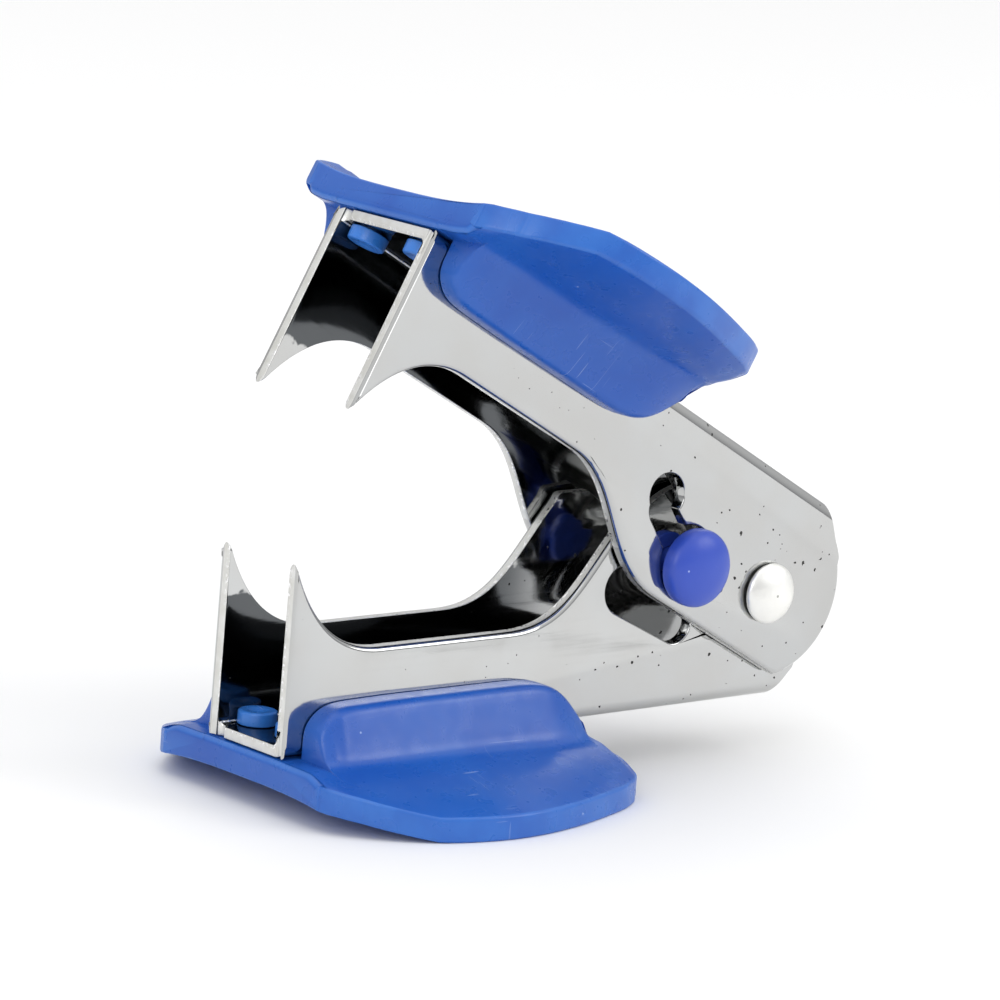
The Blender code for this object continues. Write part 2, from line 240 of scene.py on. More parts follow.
def plated_steel(name, level, pit_share, painted_shade_side=0):
    """Bright plated sheet: faint haze, soft waves from the press, fine rubs and small dark pits.
    The last argument is 0 for none, or 1 or -1 for painted near-black shade inside the channel, on the part
    above or below the axis."""
    g = Graph(name)
    haze = g.noise(160, 4.0)
    rubs = g.noise(1.0, 3.0, g.stretch((90, 2600, 2600)))
    waves = g.noise(70, 1.0)
    distance, colour = g.cells(1250)
    chosen = g.math("GREATER_THAN", g.red(colour), 1.0 - pit_share)
    rear = g.ramp(g.axis(0), -0.032, 0.0, 0.3, 1.0)
    patch = g.ramp(g.noise(120, 2.0), 0.4, 0.6, 0.45, 1.0)
    uneven = g.noise(2500, 2.0)
    size = g.math("MULTIPLY", g.math("MULTIPLY", rear, patch), g.ramp(uneven, 0.3, 0.7, 0.06, 0.34))
    pit = g.math("MULTIPLY", chosen, g.math("LESS_THAN", distance, size))
    tone = g.blend(g.ramp(haze, 0.3, 0.7), grey(level, (0.985, 1.0, 1.0)),
                   grey(level * 0.96, (1.0, 1.0, 0.985)))
    # Painted shade: the inside faces turn near-black on the web's side of the axis, fully towards the fangs
    # and less near the rivet, standing in for dark reflections.
    if painted_shade_side:
        uneven_line = g.ramp(g.noise(900, 2.0), 0.3, 0.7, -0.0003, 0.0003)
        deep = g.ramp(g.math("ADD", g.math("MULTIPLY", g.axis(2), painted_shade_side), uneven_line), -0.0020, -0.0017)
        front = g.ramp(g.axis(0), -0.021, -0.015, 1.0, 0.45)
        tone = g.blend(g.math("MULTIPLY", deep, front), tone, grey(0.11, (0.95, 1.0, 1.05)))
    roughness = g.math("ADD", g.ramp(haze, 0.3, 0.75, 0.06, 0.12), g.ramp(rubs, 0.5, 0.8, 0.0, 0.05))
    waved = g.bump(waves, 0.00012, 0.25)
    rubbed = g.bump(rubs, 0.000004, 0.4, waved)
    pitted = g.bump(g.math("SUBTRACT", 1.0, pit), 0.00004, 0.8, rubbed)
    return g.set(Base_Color=g.blend(pit, tone, (0.03, 0.03, 0.028, 1.0)),
                 Metallic=g.ramp(pit, 0, 1, 1.0, 0.3),
                 Roughness=g.math("ADD", roughness, g.math("MULTIPLY", pit, 0.4)), Normal=pitted)


def sheared_steel(name):
    """The cut edge of the sheet: satin, with a line of bright tearing marks under the plating."""
    g = Graph(name)
    marks = g.noise(3000, 2.0)
    coarse = g.noise(700, 2.0)
    torn = g.math("MULTIPLY", g.ramp(marks, 0.5, 0.6), g.ramp(g.attribute("torn"), 0.6, 0.8))
    tone = g.blend(g.ramp(coarse, 0.3, 0.7), (0.70, 0.695, 0.66, 1.0), (0.79, 0.79, 0.77, 1.0))
    tone = g.blend(torn, tone, grey(0.95))
    height = g.math("ADD", g.math("MULTIPLY", coarse, 0.4), torn)
    return g.set(Base_Color=tone, Metallic=g.ramp(torn, 0, 1, 0.75, 1.0),
                 Roughness=g.ramp(torn, 0, 1, 0.42, 0.18), Normal=g.bump(height, 0.00005, 0.5))


def moulded_plastic(name, colour, light, roughness, rim_highlight_strength):
    """Satin moulding: faint flow tone, fine grain, a painted highlight on the rims, stray specks and hairline
    rubs.
    """
    g = Graph(name)
    flow = g.noise(95, 3.0, distortion=0.6)
    grain = g.noise(4200, 2.0)
    soft = g.noise(700, 2.0)
    # Painted highlight: the rims are lightened towards the light colour, in patches, by the last argument's
    # amount.
    rim = g.math("MULTIPLY", g.attribute("rim"), g.ramp(g.noise(260, 3.0), 0.3, 0.65, 0.35, 1.0))
    body = g.blend(g.ramp(flow, 0.3, 0.7, 0.0, 0.28), colour, light)
    body = g.blend(g.math("MULTIPLY", rim, rim_highlight_strength), body, light)
    distance, tint = g.cells(620)
    chosen = g.math("GREATER_THAN", g.red(tint), 0.9)
    speck = g.math("MULTIPLY", chosen, g.math("LESS_THAN", distance, 0.055))
    across = g.noise(1.0, 1.0, g.stretch((150, 150, 5200)))
    along = g.noise(1.0, 1.0, g.stretch((4600, 170, 170)))
    hair = g.math("MAXIMUM", g.ramp(across, 0.735, 0.75), g.ramp(along, 0.735, 0.75))
    hair = g.math("MULTIPLY", hair, g.ramp(g.noise(60, 1.0), 0.5, 0.62))
    pale = g.math("MAXIMUM", g.math("MULTIPLY", speck, 0.55), g.math("MULTIPLY", hair, 0.3), clamp=True)
    body = g.blend(pale, body, (0.55, 0.68, 0.92, 1.0))
    shine = g.math("ADD", g.ramp(soft, 0.3, 0.7, roughness - 0.04, roughness + 0.05),
                   g.math("MULTIPLY", hair, 0.15))
    normal = g.bump(grain, 0.000012, 0.2)
    normal = g.bump(soft, 0.00001, 0.3, normal)
    return g.set(Base_Color=body, Roughness=shine, Normal=normal)


def rivet_metal(name):
    """Dull zinc on a hammered head."""
    g = Graph(name)
    dents = g.noise(900, 2.0)
    dull = g.noise(260, 3.0)
    distance, colour = g.cells(800)
    chosen = g.math("GREATER_THAN", g.red(colour), 0.86)
    mark = g.math("MULTIPLY", chosen, g.math("LESS_THAN", distance, 0.12))
    tone = g.blend(g.ramp(dull, 0.3, 0.7), (0.88, 0.875, 0.84, 1.0), (0.96, 0.96, 0.93, 1.0))
    tone = g.blend(g.math("MULTIPLY", mark, 0.7), tone, (0.25, 0.24, 0.21, 1.0))
    return g.set(Base_Color=tone, Metallic=0.8, Roughness=g.ramp(dull, 0.3, 0.7, 0.36, 0.5),
                 Normal=g.bump(dents, 0.00016, 0.45))


def spring_metal(name):
    g = Graph(name)
    drawn = g.noise(1400, 3.0)
    tone = g.blend(g.ramp(drawn, 0.35, 0.65), grey(0.3, (1, 0.98, 0.95)), grey(0.5))
    return g.set(Base_Color=tone, Metallic=1.0, Roughness=g.ramp(drawn, 0.3, 0.7, 0.2, 0.36),
                 Normal=g.bump(drawn, 0.00002, 0.5))


STEEL_FACE = plated_steel("plated_face", 0.53, 0.34)
LOWER_INSIDE = plated_steel("plated_lower_inside_painted_shade", 0.55, 0.12, -1)
UPPER_INSIDE = plated_steel("plated_upper_inside_painted_shade", 0.55, 0.12, 1)
STEEL_EDGE = sheared_steel("sheared_edge")
GRIP_BLUE = moulded_plastic("grip_blue", (0.010, 0.085, 0.43, 1.0), (0.034, 0.18, 0.61, 1.0), 0.3, 0.6)
PEG_BLUE = moulded_plastic("peg_blue", (0.02, 0.16, 0.6, 1.0), (0.1, 0.32, 0.82, 1.0), 0.3, 0.6)
LOCK_BLUE = moulded_plastic("lock_blue", (0.03, 0.075, 0.48, 1.0), (0.07, 0.14, 0.62, 1.0), 0.32, 0.3)
RIVET = rivet_metal("rivet_zinc")
SPRING = spring_metal("spring_wire")


# Outlines in a side frame

def arc(centre, radius, start, end, steps):
    points = []
    for i in range(steps + 1):
        angle = math.radians(start + (end - start) * i / steps)
        points.append(Vector((centre[0] + radius * math.cos(angle), centre[1] + radius * math.sin(angle))))
    return points


def bezier(points, steps):
    result = []
    for i in range(steps + 1):
        t = i / steps
        level = [Vector(p) for p in points]
        while len(level) > 1:
            level = [a.lerp(b, t) for a, b in zip(level, level[1:])]
        result.append(level[0])
    return result


def capsule(start, end, radius, steps=20):
    along = math.degrees(math.atan2(end[1] - start[1], end[0] - start[0]))
    return (arc(end, radius, along - 90, along + 90, steps)
            + arc(start, radius, along + 90, along + 270, steps))


def turned(point, angle):
    return Vector((point[0] * math.cos(angle) - point[1] * math.sin(angle),
                   point[0] * math.sin(angle) + point[1] * math.cos(angle)))


def lower_outline():
    return ([Vector((FRONT, LOWER_WEB))]
            + bezier([(50.4, 6.1), (47.8, -1.3), (41.5, -1.5)], 26)
            + bezier([(27.5, -1.5), (21.5, -1.5), (20.0, 2.0), (15.6, 7.0)], 30)
            + arc((14.7, 7.0), 0.8, 40, 90, 8)
            + [Vector((12.0, 7.8)), Vector((8.0, 5.0))]
            + arc((0, 0), LOBE_RADIUS, 50, 205, 44)
            + [Vector((-5.0, -7.4)), Vector((-2.6, LOWER_WEB))])


def upper_outline():
    return ([Vector((FRONT, UPPER_WEB)), Vector((-2.2, UPPER_WEB)), Vector((-4.6, 7.3))]
            + arc((0, 0.6), REAR_RADIUS, 126, 231.6, 40)
            + bezier([(11.5, -5.75), (18.5, -5.75), (20.5, 1.2), (27.0, 1.2)], 34)
            + bezier([(41.5, 1.2), (47.6, 0.9), (50.5, -6.3)], 26))


def lock_channel_shapes():
    room = LOCK_SHAFT_RADIUS + GAP
    closed = math.radians(CLOSED_ANGLE)
    ring = arc((0, 0), 12.3, -8, 75, 40) + arc((0, 0), LOBE_RADIUS, 50, -17, 30)
    window = ([Vector((16.05, -0.8))] + arc((9.0, -2.35), 1.7, -64, -184, 20)
              + [turned(UNLOCKED, closed), turned(LOCKED, closed)])
    return (ring, window[::-1], arc((15.0, 1.15), 2.2, 0, 352.5, 47),
            capsule(turned(UNLOCKED, closed), turned(LOCKED, closed), room + 0.1),
            capsule(turned(UNLOCKED, OPEN), turned(LOCKED, OPEN), room))


def slot_shapes():
    return (arc((15.4, 2.3), 1.95, 0, 352.5, 47), arc((10.3, -1.3), 2.85, 0, 352.5, 47),
            capsule((11.6, -0.85), (15.2, 1.05), 1.48))


# Mesh helpers

def clamp(value):
    return max(0.0, min(1.0, value))


def new_object(name, mesh, group):
    item = bpy.data.objects.new(name, mesh)
    group.objects.link(item)
    return item


def finished(item, name):
    """The object's mesh with its modifiers applied, on a new object."""
    bpy.context.view_layer.update()
    shape = item.evaluated_get(bpy.context.evaluated_depsgraph_get())
    mesh = bpy.data.meshes.new_from_object(shape)
    mesh.name = name
    bpy.data.objects.remove(item, do_unlink=True)
    return new_object(name, mesh, pieces)


def prism(name, outline, low_y, high_y):
    """An outline of a side frame made solid across the jaw."""
    mesh = bpy.data.meshes.new(name)
    work = bmesh.new()
    ring = [work.verts.new((-u * MM, low_y * MM, z * MM)) for u, z in outline]
    face = work.faces.new(ring)
    made = bmesh.ops.extrude_face_region(work, geom=[face])
    moved = [part for part in made["geom"] if isinstance(part, bmesh.types.BMVert)]
    bmesh.ops.translate(work, verts=moved, vec=(0, (high_y - low_y) * MM, 0))
    bmesh.ops.recalc_face_normals(work, faces=work.faces)
    work.to_mesh(mesh)
    work.free()
    return new_object(name, mesh, cutters)


def bend_edges(item, height, radius, segments):
    work = bmesh.new()
    work.from_mesh(item.data)
    edges = []
    for edge in work.edges:
        a, b = (vert.co for vert in edge.verts)
        level = abs(a.z - height * MM) < 1e-6 and abs(b.z - height * MM) < 1e-6
        if level and abs(a.x - b.x) > 1e-6 and abs(a.y - b.y) < 1e-6:
            edges.append(edge)
    bmesh.ops.bevel(work, geom=edges, offset=radius * MM, segments=segments, affect="EDGES", profile=0.5,
                    clamp_overlap=False)
    work.to_mesh(item.data)
    work.free()


def cut(item, other):
    modifier = item.modifiers.new("cut", "BOOLEAN")
    modifier.operation = "DIFFERENCE"
    modifier.solver = "EXACT"
    modifier.object = other


def round_bar(name, radius, centre, low, high, axis):
    """A turned cutter along Y or Z."""
    mesh = bpy.data.meshes.new(name)
    work = bmesh.new()
    bmesh.ops.create_cone(work, cap_ends=True, segments=40, radius1=radius * MM, radius2=radius * MM,
                          depth=(high - low) * MM)
    work.to_mesh(mesh)
    work.free()
    middle = (low + high) / 2
    if axis == "Y":
        mesh.transform(Matrix.Translation((-centre[0] * MM, middle * MM, centre[1] * MM))
                       @ Matrix.Rotation(math.pi / 2, 4, "X"))
    else:
        mesh.transform(Matrix.Translation((-centre[0] * MM, centre[1] * MM, middle * MM)))
    return new_object(name, mesh, cutters)


def drop(items):
    for item in items:
        bpy.data.objects.remove(item, do_unlink=True)


def smooth(mesh, angle):
    mesh.shade_smooth()
    mesh.set_sharp_from_angle(angle=math.radians(angle))


# Jaws

def web_rise(u, inside=False):
    start, end, outer, inner = WEB_RISE
    return clamp((u - start) / (end - start)) * (inner if inside else outer)


def raise_web(mesh, web):
    """Tilts the web a little, as the real channel is deeper at its fangs."""
    inner_level = abs(web) - STEEL
    outward = 1 if web > 0 else -1
    for vert in mesh.vertices:
        u = -vert.co.x / MM
        z = vert.co.z / MM * outward
        share = clamp((z - STRAIGHT_WALL) / (inner_level - STRAIGHT_WALL))
        through = clamp((z - inner_level) / STEEL)
        rise = web_rise(u, True) * (1 - through) + web_rise(u) * through
        vert.co.z += outward * rise * share * MM


def trim_corners(mesh, web, tip):
    """Brings the corners that a wide bevel throws out back to the blank's outline."""
    lobe = REAR_RADIUS if web > 0 else LOBE_RADIUS
    for vert in mesh.vertices:
        u, z = -vert.co.x / MM, vert.co.z / MM
        if abs(z) > abs(web):
            z = web
        distance = math.hypot(u, z)
        if u < REAR_END and abs(z) < REAR_HALF_HEIGHT and distance > lobe + STRAY:
            u, z = u * lobe / distance, z * lobe / distance
        front = FRONT + (tip[0] - FRONT) * max(0.0, (z - web) / (tip[1] - web))
        vert.co.x, vert.co.z = -min(u, front) * MM, z * MM


def round_tips(mesh, width, tip):
    """Rounds the points of the fangs across the sheet."""
    work = bmesh.new()
    work.from_mesh(mesh)
    side = 1 if tip > 0 else -1
    for share in TIP_SHARES:
        level = tip - side * TIP_LENGTH * (1 - share)
        bmesh.ops.bisect_plane(work, geom=work.verts[:] + work.edges[:] + work.faces[:], dist=1e-7,
                               plane_co=(0, 0, level * MM), plane_no=(0, 0, 1))
    middle = width / 2 - STEEL / 2
    for vert in work.verts:
        reach = (vert.co.z / MM * side - abs(tip) + TIP_LENGTH) / TIP_LENGTH
        if reach > 0 and -vert.co.x / MM > FANG_START:
            keep = max(THINNEST_TIP, math.sqrt(1 - min(1.0, reach) ** 2))
            sign = 1 if vert.co.y > 0 else -1
            vert.co.y = sign * (middle + (abs(vert.co.y) / MM - middle) * keep) * MM
    work.to_mesh(mesh)
    work.free()


def on_outline(edge, outline):
    """Whether the middle of an edge lies on the blank's outline."""
    middle = (edge.verts[0].co + edge.verts[1].co) / 2 / MM
    point = Vector((-middle.x, middle.z))
    for a, b in zip(outline, outline[1:] + outline[:1]):
        foot, share = geometry.intersect_point_line(point, a, b)
        if 0 <= share <= 1 and (point - foot).length < OUTLINE_DISTANCE:
            return True
    return False


def weigh_edges(mesh, width, outline):
    """Gives each edge its share of the rolled edge's bevel."""
    weights = mesh.attributes.new("bevel_weight_edge", "FLOAT", "EDGE")
    work = bmesh.new()
    work.from_mesh(mesh)
    outer = width / 2 - 0.01
    first, last, half_height = OPENINGS
    values = []
    for edge in work.edges:
        weight = 0.0
        if len(edge.link_faces) == 2 and edge.calc_face_angle(0) > math.radians(SHARP_ANGLE):
            rolled = all(abs(vert.co.y) / MM > outer for vert in edge.verts)
            rear = any(vert.co.x > 0 and abs(vert.co.z) / MM > REAR_BEND_LEVEL for vert in edge.verts)
            near_opening = all(first < -vert.co.x / MM < last and abs(vert.co.z) / MM < half_height
                               and vert.co.y < 0 for vert in edge.verts)
            if rear:
                weight = 0.0
            elif rolled and near_opening and not on_outline(edge, outline):
                weight = OPENING_WEIGHT
            else:
                weight = 1.0 if rolled else TORN_EDGE / ROLLED_EDGE
        values.append(weight)
    work.free()
    weights.data.foreach_set("value", values)


def channel(name, outline, width, web, shapes, pegs):
    """The bent channel with the openings of its near wall, its holes and its bend reliefs."""
    outward = 1 if web > 0 else -1
    body = prism(name + "_blank", outline, -width / 2, width / 2)
    bend_edges(body, web, BEND_RADIUS, 8)
    inner_web = web - outward * STEEL
    far = -outward * HOLLOW_DEPTH
    half = width / 2 - STEEL
    room = [(HOLLOW_FRONT, inner_web), (HOLLOW_REAR, inner_web), (HOLLOW_REAR, far), (HOLLOW_FRONT, far)]
    inside = prism("hollow", room, -half, half)
    bend_edges(inside, inner_web, INNER_BEND_RADIUS, 5)
    tools = [inside]
    for shape in shapes:
        tools.append(prism("side_cut", shape, -width, 0))
    tools.append(round_bar("rivet_hole", RIVET_RADIUS + 0.05, (0, 0), -width, width, "Y"))
    for u, y in pegs:
        for side in (-1, 1):
            tools.append(round_bar("peg_hole", PEG_HOLE_RADIUS, (u, side * y), web - 3, web + 3, "Z"))
    for y, radius in ((width / 2 - 1.7, 0.6), (0.95 - width / 2, 0.3)):
        tools.append(round_bar("relief", radius, (FRONT + 0.2, y), web - 2.2, web + 2.2, "Z"))
    for tool in tools:
        cut(body, tool)
    body = finished(body, name)
    drop(tools)
    return body


def clean(mesh):
    """Takes out the slivers that the Booleans leave."""
    work = bmesh.new()
    work.from_mesh(mesh)
    bmesh.ops.remove_doubles(work, verts=work.verts, dist=WELD_DISTANCE)
    bmesh.ops.dissolve_degenerate(work, edges=work.edges, dist=WELD_DISTANCE)
    bmesh.ops.dissolve_limit(work, angle_limit=math.radians(FLAT_ANGLE), verts=work.verts,
                             edges=work.edges)
    work.to_mesh(mesh)
    work.free()


def mark_torn(mesh, width, web):
    """Marks how deep in the sheet each vertex lies: 0 on its outer face and 1 on its inner one."""
    outward = 1 if web > 0 else -1
    half = width / 2 - STEEL
    inner_level = abs(web) - STEEL
    torn = mesh.attributes.new("torn", "FLOAT", "POINT")
    values = []
    for vert in mesh.vertices:
        y, z = abs(vert.co.y) / MM, vert.co.z / MM * outward
        values.append(1.0 - clamp(max((y - half) / STEEL, (z - inner_level) / STEEL)))
    torn.data.foreach_set("value", values)


def give_materials(mesh, width, web):
    """Outer faces keep the first material; cut edges and the channel's inside get their own."""
    outward = 1 if web > 0 else -1
    half = width / 2 - STEEL
    mesh.materials.clear()
    for material in (STEEL_FACE, UPPER_INSIDE if web > 0 else LOWER_INSIDE, STEEL_EDGE):
        mesh.materials.append(material)
    for face in mesh.polygons:
        centre = face.center / MM
        normal = face.normal
        on_wall = abs(normal.y) > 0.8
        on_web = abs(normal.z) > 0.7
        sheet = (on_wall and abs(centre.y) > half - 0.4) or (
            on_web and abs(centre.z - web) < STEEL + 0.05 and abs(centre.y) < width / 2)
        bend = abs(centre.z - web) < BEND_RADIUS and abs(centre.y) > half - 0.6 and abs(normal.x) < 0.3
        rolled = abs(centre.y) > width / 2 - ROLLED_EDGE
        in_opening = 4 < -centre.x < 17.45 and -4.45 < centre.z < 4.5 and abs(centre.y) > half - 0.01
        inner_wall = on_wall and centre.y * normal.y < 0
        inner_web = on_web and normal.z * outward < 0 and abs(centre.z) > 7
        if not (sheet or bend or rolled or in_opening):
            face.material_index = EDGE_MATERIAL
        elif inner_wall or inner_web:
            face.material_index = INSIDE_MATERIAL


def jaw(name, outline, width, web, shapes, pegs, placed):
    outward = 1 if web > 0 else -1
    body = channel(name, outline, width, web, shapes, pegs)
    clean(body.data)
    weigh_edges(body.data, width, outline)
    soften = body.modifiers.new("soften", "BEVEL")
    soften.width = ROLLED_EDGE * MM
    soften.segments = 3
    soften.limit_method = "WEIGHT"
    soften.use_clamp_overlap = False
    body = finished(body, name)
    mesh = body.data
    fang = [point for point in outline if point[0] > FANG_POINT_START]
    tip = min(fang, key=lambda point: point[1] * outward)
    trim_corners(mesh, web, tip)
    mark_torn(mesh, width, web)
    give_materials(mesh, width, web)
    raise_web(mesh, web)
    round_tips(mesh, width, tip[1])
    smooth(mesh, 32)
    body.matrix_world = placed
    return body


lower_jaw = jaw("lower_jaw_sheet", lower_outline(), LOWER_WIDTH, LOWER_WEB, lock_channel_shapes(), LOWER_PEGS,
                LOWER_FRAME)
upper_jaw = jaw("upper_jaw_sheet", upper_outline(), UPPER_WIDTH, UPPER_WEB, slot_shapes(), UPPER_PEGS,
                UPPER_FRAME)


# Grips

# Along a grip: (u, half-width, how far the skirts reach down the walls, how thick the skirts are).
# A row without skirts has a reach of -1; below that, its face stands off the web by the difference.
GRIP_STATIONS = (
    (50.3, 12.15, -1, 1.9), (49.7, 12.95, -1, 1.9), (49.2, 13.5, -1, 1.95), (48.96, 13.72, -1, 2.0),
    (48.92, 13.77, 1.6, 2.0), (48.84, 13.86, 2.0, 2.0), (48.7, 14.0, 2.4, 2.0), (48.4, 14.35, 2.85, 2.05),
    (48.0, 14.75, 3.25, 2.1), (47.5, 15.2, 3.6, 2.1), (46.9, 15.7, 3.85, 2.15), (46.2, 16.2, 4.0, 2.15),
    (45.0, 17.0, 4.1, 2.2), (43.0, 18.0, 4.15, 2.2), (40.0, 18.9, 4.2, 2.2), (36.5, 19.3, 4.2, 2.2),
    (33.0, 19.0, 4.2, 2.2), (29.5, 18.2, 4.2, 2.2), (26.5, 17.2, 4.15, 2.2), (24.8, 16.55, 3.9, 2.2),
    (23.4, 16.0, 3.35, 2.1), (22.3, 15.5, 2.55, 2.0), (21.4, 15.0, 1.6, 1.9), (20.8, 14.6, 0.8, 1.9),
    (20.5, 14.4, 0.15, 1.9), (20.42, 14.35, -1, 1.9), (20.0, 14.05, -1.45, 1.9), (19.5, 13.6, -2.0, 1.9),
    (18.9, 12.8, -2.6, 1.9),
)
GRIP_FRONT = 51.2
GRIP_FRONT_HALF = 10.75
GRIP_CENTRE = 3.0
GRIP_DISH_POWER = 3.1
GRIP_LEVEL_STRIP = 1.6
GRIP_WING = 2.1
GRIP_FLOOR = 0.12
GRIP_FRONT_EDGE = 0.22
GRIP_FRONT_LIP = 0.62
GRIP_CLEARANCE = 0.1
GRIP_FOOT = 1.7
GRIP_RIM = 0.7
GRIP_THICKNESS = 2.72
# The upper grip is wider from the first station and fully so at this distance past it
GRIP_WIDER_FROM = 20
GRIP_WIDER_OVER = 12
DISH_STEPS = 16
# Points that the rounded rim takes after the dish's
RIM_POINTS = 10
ROWS_PER_STATION = 3
FRONT_STEPS = 6
TAIL_STEPS = 5
TAIL_EDGE = 0.3


def rounded(corners):
    """A smooth path through corners given as (y, h, radius, steps)."""
    path = []
    for i, (y, h, radius, steps) in enumerate(corners):
        here = Vector((y, h))
        if radius == 0 or i in (0, len(corners) - 1):
            path.append(here)
            continue
        before = Vector(corners[i - 1][:2]) - here
        after = Vector(corners[i + 1][:2]) - here
        first = here + before.normalized() * min(radius, before.length * 0.48)
        last = here + after.normalized() * min(radius, after.length * 0.48)
        path += bezier([first, here, last], steps)
    return path


def grip_section(u, width, half, widest, skirt, wall, rim):
    """Half of a grip's cross-section as (y, h), from the dish's middle round to the floor's."""
    floor = GRIP_FLOOR + web_rise(u)
    inner = width / 2 + GRIP_CLEARANCE
    top = inner + wall
    foot = top + GRIP_FOOT

    def dish(y):
        share = min(1.0, y / (widest - GRIP_LEVEL_STRIP))
        return GRIP_CENTRE + (rim - GRIP_CENTRE) * share ** GRIP_DISH_POWER

    level = half - GRIP_RIM
    reach = dish(half)
    corners = [(level * i / DISH_STEPS, dish(level * i / DISH_STEPS), 0, 0) for i in range(DISH_STEPS + 1)]
    crease = dish(foot) - GRIP_THICKNESS
    under = reach - GRIP_WING
    corners += [(half, reach, 0.3, 5), (half, under, 0.32, 5)]
    middle = (foot + (half - foot) * 0.5, crease + (under - crease) * 0.42)
    if skirt < 0:
        low = floor + 0.03 + (-1 - skirt)
        corners += [(middle[0], max(middle[1], low + 0.06), 3.0, 8), (foot, max(crease, low + 0.04), 1.0, 8),
                    ((foot + top) / 2 + 0.1, max(crease * 0.9, low + 0.03), 1.5, 8),
                    (top, low + 0.02, 0.5, 8), (inner, low, 0.3, 4)]
    else:
        bulge = (top + 0.35 + 0.1 * (skirt + crease), (crease - skirt) / 2)
        corners += [(*middle, 3.0, 8), (foot, crease, 1.1, 8), (*bulge, 2.4, 8),
                    (top, -skirt, min(0.75, wall * 0.4), 8), (inner, -skirt, 0.18, 4)]
    corners += [(inner, floor, 0.12, 3), (0, floor, 0, 0)]
    return rounded(corners)


def inset(path, amounts):
    """A closed path moved inward, by an amount for each of its points."""
    result = []
    count = len(path)
    for i, here in enumerate(path):
        along = path[(i + 1) % count] - path[i - 1]
        normal = Vector((along.y, -along.x))
        if normal.length > 1e-9:
            here = here + normal.normalized() * amounts[i]
        result.append(here)
    return result


def spread(table, share):
    """Values of a table at a share of its length, on a curve that doesn't run across a skirt's end."""
    place = share * (len(table) - 1)
    i = min(int(place), len(table) - 2)
    t = place - i
    rows = [table[max(0, min(len(table) - 1, k))] for k in (i - 1, i, i + 1, i + 2)]
    if t == 0 or rows[1][2] * rows[2][2] < 0:
        return [b + (c - b) * t for b, c in zip(rows[1], rows[2])]
    if rows[0][2] * rows[1][2] < 0:
        rows[0] = rows[1]
    if rows[2][2] * rows[3][2] < 0:
        rows[3] = rows[2]
    values = []
    for a, b, c, d in zip(*rows):
        values.append(0.5 * (2 * b + (c - a) * t + (2 * a - 5 * b + 4 * c - d) * t * t
                             + (3 * b - a - 3 * c + d) * t ** 3))
    return values


def grip(name, width, web, rim, placed):
    outward = 1 if web > 0 else -1
    extra = (width - LOWER_WIDTH) / 8
    broadest = max(row[1] for row in GRIP_STATIONS)
    steps = (len(GRIP_STATIONS) - 1) * ROWS_PER_STATION
    rows = [(GRIP_FRONT, GRIP_FRONT_HALF, -1, 1.9), (50.8, 11.5, -1, 1.9)]
    for i in range(steps + 1):
        rows.append(spread(GRIP_STATIONS, i / steps))
    rings = []
    narrowing = False
    for u, half, skirt, wall in rows:
        narrowing = narrowing or (half >= broadest - 0.001)
        wider = extra * clamp((u - GRIP_WIDER_FROM) / GRIP_WIDER_OVER)
        widest = (half if narrowing else broadest) + wider
        side = grip_section(u, width, half + wider, widest, skirt, wall, rim)
        whole = [Vector(p) for p in side] + [Vector((-p[0], p[1])) for p in side[-2:0:-1]]
        rings.append([(u, p) for p in whole])
    half_count = len(side)

    def place(i):
        return i if i < half_count else 2 * half_count - 2 - i

    outer_last = DISH_STEPS + RIM_POINTS
    edge = [GRIP_FRONT_EDGE if place(i) <= outer_last else GRIP_FRONT_LIP for i in range(len(rings[0]))]
    base = rings[0]
    second = rings[1]
    front = []
    for k in range(FRONT_STEPS):
        angle = math.pi / 2 * k / FRONT_STEPS
        pulled = inset([p for u, p in base], [radius * (1 - math.sin(angle)) for radius in edge])
        front.append([(GRIP_FRONT - radius * (1 - math.cos(angle)), p) for p, radius in zip(pulled, edge)])
    first = [(GRIP_FRONT - radius, p.lerp(q, min(1.0, radius / 0.8) * 0.6))
             for (u, p), (v, q), radius in zip(base, second, edge)]
    rings = front + [first] + rings[1:]
    last = rings[-1]
    tail = []
    for k in range(1, TAIL_STEPS + 1):
        angle = math.pi / 2 * k / TAIL_STEPS
        pulled = inset([p for u, p in last], [TAIL_EDGE * (1 - math.cos(angle))] * len(last))
        tail.append([(last[0][0] - TAIL_EDGE * math.sin(angle), p) for p in pulled])
    rings += tail
    mesh = bpy.data.meshes.new(name)
    work = bmesh.new()
    layer = work.verts.layers.float.new("rim")
    loops = []
    for r, ring in enumerate(rings):
        loop = []
        for i, (u, (y, h)) in enumerate(ring):
            vert = work.verts.new((-u * MM, y * MM, (web + outward * h) * MM))
            on_rim = DISH_STEPS < place(i) <= outer_last + 1
            # The rim layer marks the rounded rim and the rounded front, where the material paints a
            # highlight.
            vert[layer] = 1.0 if on_rim or 2 <= r <= 6 else 0.0
            loop.append(vert)
        loops.append(loop)
    count = len(loops[0])
    for near, far in zip(loops, loops[1:]):
        for i in range(count):
            j = (i + 1) % count
            work.faces.new((near[i], near[j], far[j], far[i]))
    work.faces.new(loops[0])
    work.faces.new(loops[-1])
    bmesh.ops.recalc_face_normals(work, faces=work.faces)
    bmesh.ops.triangulate(work, faces=[f for f in work.faces if len(f.verts) > 4])
    work.to_mesh(mesh)
    work.free()
    body = new_object(name, mesh, pieces)
    mesh.materials.append(GRIP_BLUE)
    smooth(mesh, 36)
    body.matrix_world = placed
    return body


lower_grip = grip("lower_grip_moulding", LOWER_WIDTH, LOWER_WEB, 5.25, LOWER_FRAME)
upper_grip = grip("upper_grip_moulding", UPPER_WIDTH, UPPER_WEB, 6.0, UPPER_FRAME)


# Turned pieces

